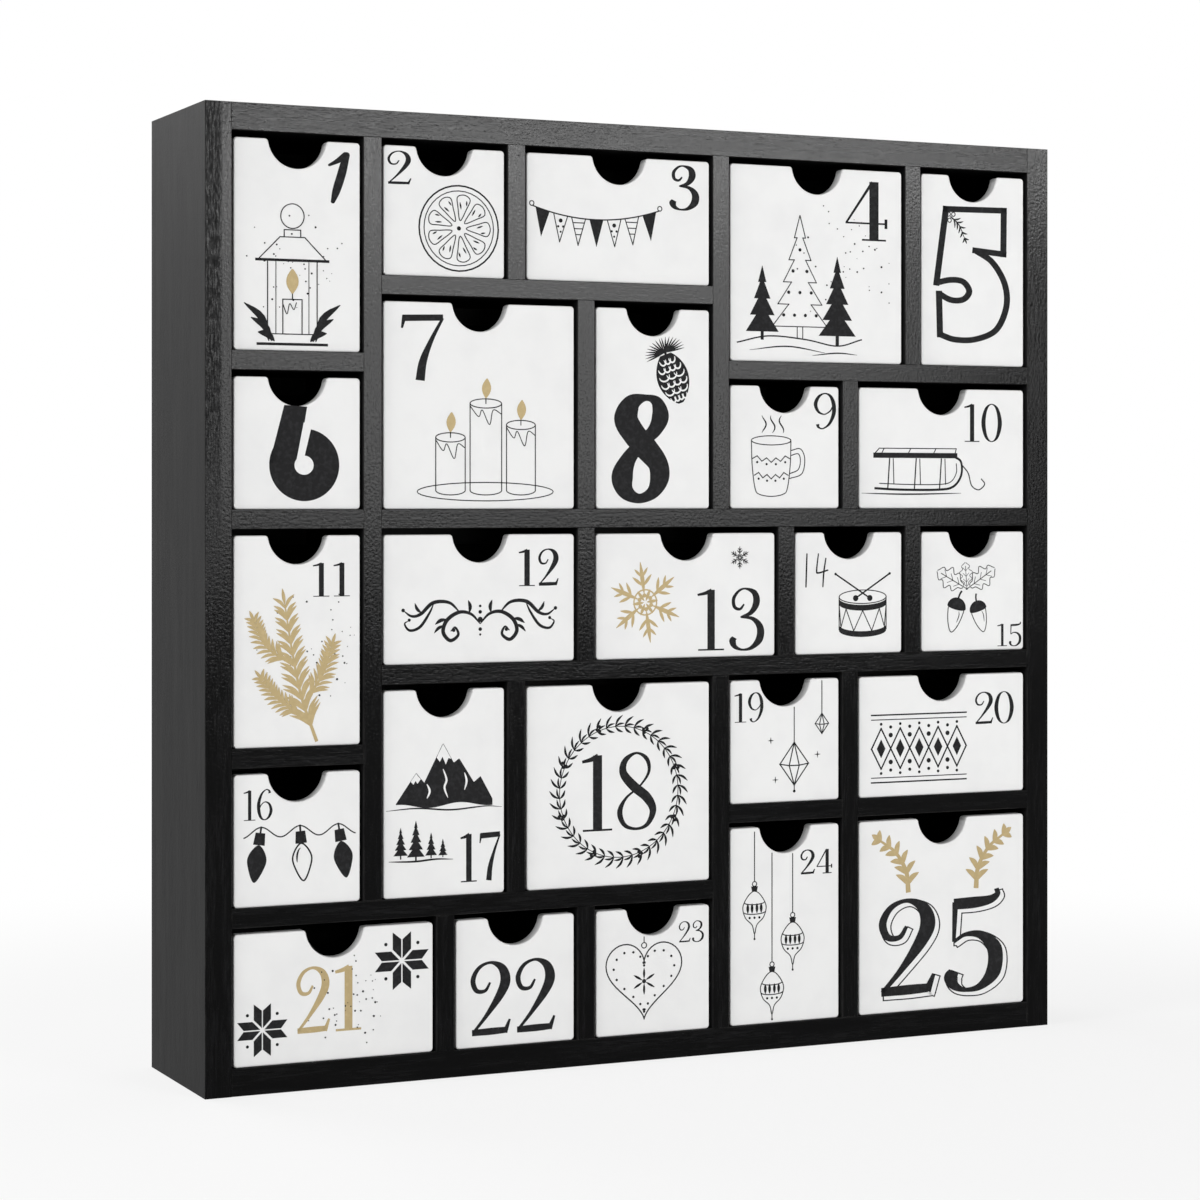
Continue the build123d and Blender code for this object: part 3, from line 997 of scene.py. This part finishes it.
def mountains(line):
    """Dark peaks with snow on the tops and in the gullies."""
    ridge = np.array([(-.72, -.36), (-.42, .06), (-.30, -.08), (-.02, .46), (.14, .18),
                      (.22, .24), (.44, -.10), (.54, -.02), (.72, -.34)])
    x = np.linspace(-.72, .72, 97)
    skyline = np.column_stack([x, np.interp(x, ridge[:, 0], ridge[:, 1])])
    bands = [between(np.column_stack([x, -.40 + .03 * np.sin(7 * x)]), skyline)]
    bands += [flourish([(-.86, -.45), (-.40, -.43), (.10, -.47), (.60, -.44), (.86, -.46)],
                       1.6 * line)]
    snow = [between([(-.115, .26), (-.07, .20), (-.03, .27), (.02, .16), (.06, .25),
                     (.098, .235)],
                    [(-.090, .315), (-.06, .37), (-.02, .445), (.01, .395), (.05, .325),
                     (.092, .252)])]
    snow += [between([(-.50, -.06), (-.46, -.10), (-.43, -.05), (-.40, -.09), (-.355, -.03)],
                     [(-.49, -.045), (-.45, .01), (-.42, .05), (-.39, .01), (-.355, -.025)])]
    snow += [flourish(gully, 2.1 * line) for gully in (
        [(-.02, .10), (.03, -.05), (0, -.16), (.05, -.30)],
        [(.30, .04), (.33, -.08), (.30, -.20)],
        [(-.26, -.10), (-.22, -.20), (-.26, -.30)],
    )]
    return [("black", bands), ("white", snow)]


def wreath(line):
    """Wreath: a thin ring with leaves inside and out, and clusters of berries."""
    bands = [hoop(0, 0, .43, .8 * line, steps=72)]
    sprig = [leaf((0, .43), (.06, .50), .016, .1), leaf((0, .43), (.07, .445), .014, .1)]
    sprig += [leaf((0, .43), (.055, .388), .016, -.1)]
    berries = [dot(x, z, .011, steps=8) for x, z in ((.012, .455), (-.012, .442), (.004, .425))]
    for i in range(40):
        bands += turned(sprig, 9 * i + 4)
    for i in range(8):
        bands += turned(berries, 45 * i + 20)
    return [("black", bands)]


def gem(line, radius, height):
    """Cut glass drop: an outline with its facets."""
    top, low, table, girdle = (0, height / 2), (0, -height / 2), .35 * radius, -.04 * height
    bands = rule([top, (radius, 0), low, (-radius, 0), top], line)
    bands += rule([(-radius, 0), (-table, girdle), (table, girdle), (radius, 0)], line)
    return bands + mirrored(rule([top, (table, girdle), low], line))


def hanging_gems(line):
    """Two glass drops on threads, with sparks beside them."""
    bands = rule([(.05, .50), (.05, .10)], line) + moved(gem(1.2 * line, .19, .50), .05, -.16)
    bands += rule([(.05, -.41), (.05, -.47)], line) + [dot(.05, -.48, .018)]
    bands += rule([(.42, .80), (.42, .42)], line) + moved(gem(line, .09, .24), .42, .30)
    for x, z in ((-.26, .12), (.36, -.06), (-.20, -.34)):
        bands += [leaf((x, z - .04), (x, z + .04), .012), leaf((x - .04, z), (x + .04, z), .012)]
    return [("black", bands)]


def knit_band(line):
    """Knitted border: a row of diamonds between double lines and beads."""
    reach, count = .82, 5
    bands = []
    for height, width in ((.50, 1.5), (.43, 1.0), (-.43, 1.0), (-.50, 1.5)):
        bands += rule([(-reach, height), (reach, height)], width * line)
    half = reach / count
    for x in half * (2 * np.arange(count) - count + 1):
        bands += rule([(x - half, 0), (x, .30), (x + half, 0), (x, -.30), (x - half, 0)],
                      1.6 * line)
        bands += [between([(x - .45 * half, 0), (x, -.14)], [(x, .14), (x + .45 * half, 0)])]
        bands += [dot(x, side * .365, .022) for side in (-1, 1)]
    for x in half * 2 * (np.arange(count - 1) - count / 2 + 1):
        for side in (1, -1):
            bands += [dot(x, side * .20, .035), dot(x, side * .32, .025)]
    return [("black", bands)]


def knit_rose(line):
    """Eight-petalled knitting rose: slanting petals either side of each arm of a cross."""
    gap, width, reach = .012, .17, .50
    petal = between([(gap, gap + .03), (gap, reach - .75 * width)],
                    [(width, width + .03), (width, reach)])
    bands = []
    for i in range(4):
        bands += turned(mirrored([petal]), 90 * i) + turned([dot(.42, 0, .03)], 90 * i + 45)
    return [("black", bands)]


def heart_biscuit(line):
    """Iced heart on a loop: 16 times a sine cubed against a sum of four cosines, with a
    row of dots inside it and a star of leaves in the middle."""
    t = np.linspace(0, 2 * np.pi, 72, endpoint=False)
    height = 13 * np.cos(t) - 5 * np.cos(2 * t) - 2 * np.cos(3 * t) - np.cos(4 * t) + 2.5
    edge = np.column_stack([16 * np.sin(t) ** 3, height]) / 30
    bands = [pen(edge, 1.3 * line, closed=True), hoop(0, .455, .035, line, steps=20)]
    bands += [dot(0, 0, .028)] + [dot(x, z, .016) for x, z in edge[::3] * .80]
    bands += rule([(0, .49), (0, .56)], line)
    for i in range(6):
        bands += turned([leaf((0, .03), (0, .17), .030)], 60 * i)
    return [("black", bands)]


def glass_drop(line):
    """Blown drop with a cap and ring, two bands and a spike."""
    body = through([(0, .22), (.10, .16), (.19, 0), (.15, -.16), (.04, -.27), (0, -.40),
                    (-.04, -.27), (-.15, -.16), (-.19, 0), (-.10, .16)], 8, closed=True)
    bands = [pen(body, line, closed=True), hoop(0, .325, .035, line, steps=20)]
    bands += [between([(-.04, .22), (-.055, .29)], [(.04, .22), (.055, .29)])]
    for height, reach in ((.06, .165), (-.08, .178)):
        bands += [pen(arc(0, height, reach, .035, 180, 360), line)]
    bands += [leaf((x, -.10), (x, .045), .045) for x in (-.11, -.04, .04, .11)]
    bands += [dot(x, -.165, .018) for x in (-.08, 0, .08)]
    return bands + rule([(0, -.40), (0, -.46)], line) + [dot(0, -.475, .016)]


def hanging_drops(line):
    """Three glass drops, each hung by its ring from a thread."""
    bands = []
    for x, z, top in ((-.306, .286, 1.364), (.324, -.200, 1.022), (-.018, -.900, 1.044)):
        bands += moved(glass_drop(line), x, z) + rule([(x, z + .36), (x, top)], line)
    return [("black", bands)]


def right_laurel(line):
    """Laurel sprig that leans to the right: broad leaves in pairs along a bent twig."""
    twig_path = [(-.10, -.50), (-.13, -.15), (0, .20), (.24, .46)]
    return [("gold", needles(twig_path, .30, .09, 6, 48, .12))]


def left_laurel(line):
    """The right laurel's mirror image."""
    return [(ink, mirrored(bands)[len(bands):]) for ink, bands in right_laurel(line)]


def spatter(line):
    """Fine spots scattered about the middle, denser towards it."""
    chance = np.random.default_rng(spatter_seed)
    spots = np.clip(chance.normal(0, .20, (spatter_spots, 2)), -.42, .42)
    sizes = chance.uniform(.35, 1.1, spatter_spots) * line
    return [("black", [dot(x, z, size, steps=6) for (x, z), size in zip(spots, sizes)])]


# Each picture: its place in shares of the front, its height in metres, and its turn in degrees
picture_prints = {
    1: [(spatter, .49, .45, .040, 0), (lantern, .46, .36, .047, 0)],
    2: [(orange_slice, .62, .38, .029, 0)],
    3: [(bunting, .375, .40, .020, 0)],
    4: [(conifers, .40, .40, .050, 0), (spatter, .62, .52, .050, 90)],
    5: [(twig, .37, .73, .010, 0)],
    7: [(candles, .53, .36, .044, 0)],
    8: [(fir_cone, .665, .675, .021, 20)],
    9: [(mug, .40, .42, .029, 0)],
    10: [(sledge, .36, .40, .025, 0)],
    11: [(spatter, .60, .50, .044, 40), (fir_bough, .46, .40, .052, 0)],
    12: [(scrollwork, .50, .33, .018, 0)],
    13: [(gold_frost_star, .27, .45, .028, 8), (frost_star, .80, .80, .008, 0)],
    14: [(drum, .63, .40, .024, 0)],
    15: [(acorns, .44, .43, .027, 0)],
    16: [(light_string, .52, .37, .024, 0)],
    17: [(mountains, .50, .58, .024, 0), (grove, .32, .27, .015, 0)],
    18: [(wreath, .50, .465, .052, 0)],
    19: [(hanging_gems, .55, .42, .030, 0)],
    20: [(knit_band, .36, .40, .024, 0)],
    21: [(knit_rose, .84, .72, .019, 0), (knit_rose, .14, .27, .017, 0),
         (spatter, .55, .47, .034, 60)],
    23: [(heart_biscuit, .42, .42, .027, 0)],
    24: [(hanging_drops, .39, .50, .024, 0)],
    25: [(left_laurel, .23, .77, .022, 12), (right_laurel, .77, .77, .022, -12)],
}


# Printed films: screen inks, pressed through a mesh on to the paint one layer after
# another. Each layer lies a step above the one before it, and each film in a layer a
# hair above the last, so that films can cross.
layer_step = 0.00002
film_step = 0.0000004
film_depth = 0.00010
black_ink_colour = (0.0120, 0.0120, 0.0127, 1.0)
black_ink_thin_colour = (0.0240, 0.0240, 0.0253, 1.0)
gold_ink_colour = (0.40, 0.310, 0.160, 1.0)
gold_ink_thin_colour = (0.46, 0.360, 0.195, 1.0)
ink_shine = 0.06
ink_tooth_strength = 0.1
ink_tooth_depth = 0.00005


def screen_ink(name, colour, thin_colour, roughness, metallic=0.0):
    """Screen ink: slightly uneven cover over the paint, with a dry surface."""
    material, tree, place = new_finish(name)
    cover = noise(tree, place, 700.0, 4.0)
    uneven = mixed(tree, ramp(tree, cover, 0.45, 0.75), colour, thin_colour)
    dry = ramp(tree, cover, start=roughness - 0.06, end=roughness + 0.1)
    coat(tree, uneven, dry, ink_shine, cover, ink_tooth_strength, ink_tooth_depth, metallic)
    return material


print_inks = {
    "black": screen_ink("black_ink", black_ink_colour, black_ink_thin_colour, 0.6),
    "white": screen_ink("white_ink", white_paint_colour, white_shade_colour, 0.55),
    "gold": screen_ink("gold_ink", gold_ink_colour, gold_ink_thin_colour, 0.5, metallic=0.1),
}


def film(band, face_y, start_lift, end_lift):
    """Closed film over a flat band: the band's outline, anticlockwise, once at the
    film's face and once just inside the paint, with quads across and round it. The
    face rises a little from start to end, so a band can cross itself."""
    lift = np.linspace(start_lift, end_lift, len(band))
    loop = np.concatenate([band[:, 1], band[::-1, 0]])
    lift = np.concatenate([lift, lift[::-1]])
    after = np.roll(loop, -1, 0)
    if np.sum(loop[:, 0] * after[:, 1] - after[:, 0] * loop[:, 1]) < 0:
        loop, lift = loop[::-1], lift[::-1]
    count = len(loop)
    depth = np.concatenate([face_y - lift, np.full(count, face_y + film_depth)])
    points = np.column_stack([np.tile(loop[:, 0], 2), depth, np.tile(loop[:, 1], 2)])
    i = np.arange(count // 2 - 1)
    face = np.column_stack([i, i + 1, count - 2 - i, count - 1 - i])
    j = np.arange(count)
    rim = np.column_stack([j, j + count, np.roll(j, -1) + count, np.roll(j, -1)])
    return points, np.concatenate([face, face[:, ::-1] + count, rim])


def front_print(number):
    """All the films on one front, by ink: the number's layers, then each picture's."""
    (left, face_y, low), (right, back_y, high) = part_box(f"drawer_{number:02d}_front")
    layers, width, height, share_x, share_z = number_prints[number]
    placed = [(fitted(layers, width, height), share_x, share_z)]
    for picture, share_x, share_z, height, turn in picture_prints.get(number, []):
        layers = picture(line_width / height)
        sized = [(ink, turned(moved(bands, 0, 0, height), turn)) for ink, bands in layers]
        placed.append((sized, share_x, share_z))
    films, lift = {}, 0.0
    for layers, share_x, share_z in placed:
        centre = left + share_x * (right - left), low + share_z * (high - low)
        for ink, bands in layers:
            lift += layer_step
            for band in moved(bands, *centre):
                films.setdefault(ink, []).append(film(band, face_y, lift, lift + film_step))
                lift += film_step
    return films


def joined(films):
    """One mesh of many films: their points end to end, and their faces counted on."""
    points, faces = zip(*films)
    starts = np.cumsum([0] + [len(part) for part in points[:-1]])
    return np.concatenate(points), np.concatenate([f + start for f, start in zip(faces, starts)])


for number in drawer_numbers:
    for ink, films in front_print(number).items():
        print_points, print_faces = joined(films)
        print_name = f"drawer_{number:02d}_{ink}_print"
        printed = piece(print_name, print_points, print_faces.tolist(), print_inks[ink])
        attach(printed, f"drawer_{number:02d}")


# Floor: a plain white studio floor. It is lit near the calendar, where the
# shadow falls, and fades into the white background further away.
floor_reach = 6.0
floor_colour = (0.86, 0.86, 0.86, 1.0)
plain_white = (1.0, 1.0, 1.0, 1.0)
lit_radius = 0.22
fade_radius = 0.50
least_white = 0.80


def seen_directly(tree):
    """One for rays from the camera, a gloss or a glass, nought for light that scatters."""
    path = add(tree, "ShaderNodeLightPath").outputs
    either = maths(tree, "MAXIMUM", path["Is Camera Ray"], path["Is Glossy Ray"])
    return maths(tree, "MAXIMUM", either, path["Is Transmission Ray"])


def white_floor():
    """Lit white near the origin, mixed by distance from a share of plain white to all of it."""
    material, tree, place = new_finish("white_floor")
    away = add(tree, "ShaderNodeVectorMath", {0: place}, operation="LENGTH").outputs["Value"]
    fade = ramp(tree, away, lit_radius, fade_radius, least_white, interpolation_type="SMOOTHSTEP")
    share = maths(tree, "MULTIPLY", fade, seen_directly(tree))
    lit = add(tree, "ShaderNodeBsdfDiffuse", {"Color": floor_colour})
    plain = add(tree, "ShaderNodeEmission", {"Color": plain_white, "Strength": 1.0})
    shaders = {0: share, 1: lit.outputs[0], 2: plain.outputs[0]}
    close(tree, add(tree, "ShaderNodeMixShader", shaders))
    return material


corners = np.array([(-1, -1, 0), (1, -1, 0), (1, 1, 0), (-1, 1, 0)]) * floor_reach
piece("floor", corners, [[0, 1, 2, 3]], white_floor())


# Light: a white studio with a soft box in front and to the right under a bright
# strip. Glossy paint shines where it mirrors them and is black below. A box on the
# left lights the scoops, one behind lights the left side, and one the floor.
fill_strength = 0.10

# Each lamp: its place, the point it faces, its width and height, and its power in watts
lamps = {
    "front_light": ((0.95, -2.40, 0.370), (0.0, 0.0, 0.30), 1.05, 0.45, 25.0),
    "strip_light": ((1.15, -2.40, 0.65), (0.0, 0.0, 0.30), 1.40, 0.13, 24.0),
    "left_light": ((-2.70, -0.45, 0.90), (0.0, 0.0, 0.20), 1.20, 1.20, 48.0),
    "back_light": ((-0.75, 1.55, 0.95), (-0.16, 0.0, 0.30), 1.00, 0.60, 12.0),
    "top_light": ((0.0, 0.45, 1.60), (0.0, 0.30, 0.0), 1.60, 1.20, 10.0),
}


def soft_box(name, place, aim, width, height, power):
    """Rectangular lamp at a place, facing a point."""
    lamp = bpy.data.lights.new(name, "AREA")
    lamp.shape = "RECTANGLE"
    lamp.size, lamp.size_y = width, height
    lamp.energy = power
    made = bpy.data.objects.new(name, lamp)
    x, y, z = np.asarray(aim, float) - np.asarray(place, float)
    made.location = place
    made.rotation_euler = (math.atan2(math.hypot(x, y), -z), 0.0, math.atan2(-x, y))
    bpy.context.collection.objects.link(made)


for name, settings in lamps.items():
    soft_box(name, *settings)

world = bpy.data.worlds.new("white_studio")
world.use_nodes = True
world.node_tree.nodes.clear()
fill = ramp(world.node_tree, seen_directly(world.node_tree), start=fill_strength)
backdrop = add(world.node_tree, "ShaderNodeBackground", {"Color": plain_white, "Strength": fill})
add(world.node_tree, "ShaderNodeOutputWorld", {"Surface": backdrop.outputs[0]})
bpy.context.scene.world = world
bpy.context.scene.view_settings.view_transform = "Standard"


# Camera: level, to the left of the calendar, a little above its middle, with a
# long lens; the frame is shifted down so that the upright edges stay upright.
camera_place = (-0.44534, -0.94299, 0.19232)
camera_turn = -24.95
camera_lens = 88.875
camera_shift = -0.0844
camera_data = bpy.data.cameras.new("camera")
camera_data.sensor_width = 36.0
camera_data.lens = camera_lens
camera_data.shift_y = camera_shift
camera = bpy.data.objects.new("camera", camera_data)
camera.location = camera_place
camera.rotation_euler = (math.radians(90.0), 0.0, math.radians(camera_turn))
bpy.context.collection.objects.link(camera)
bpy.context.scene.camera = camera
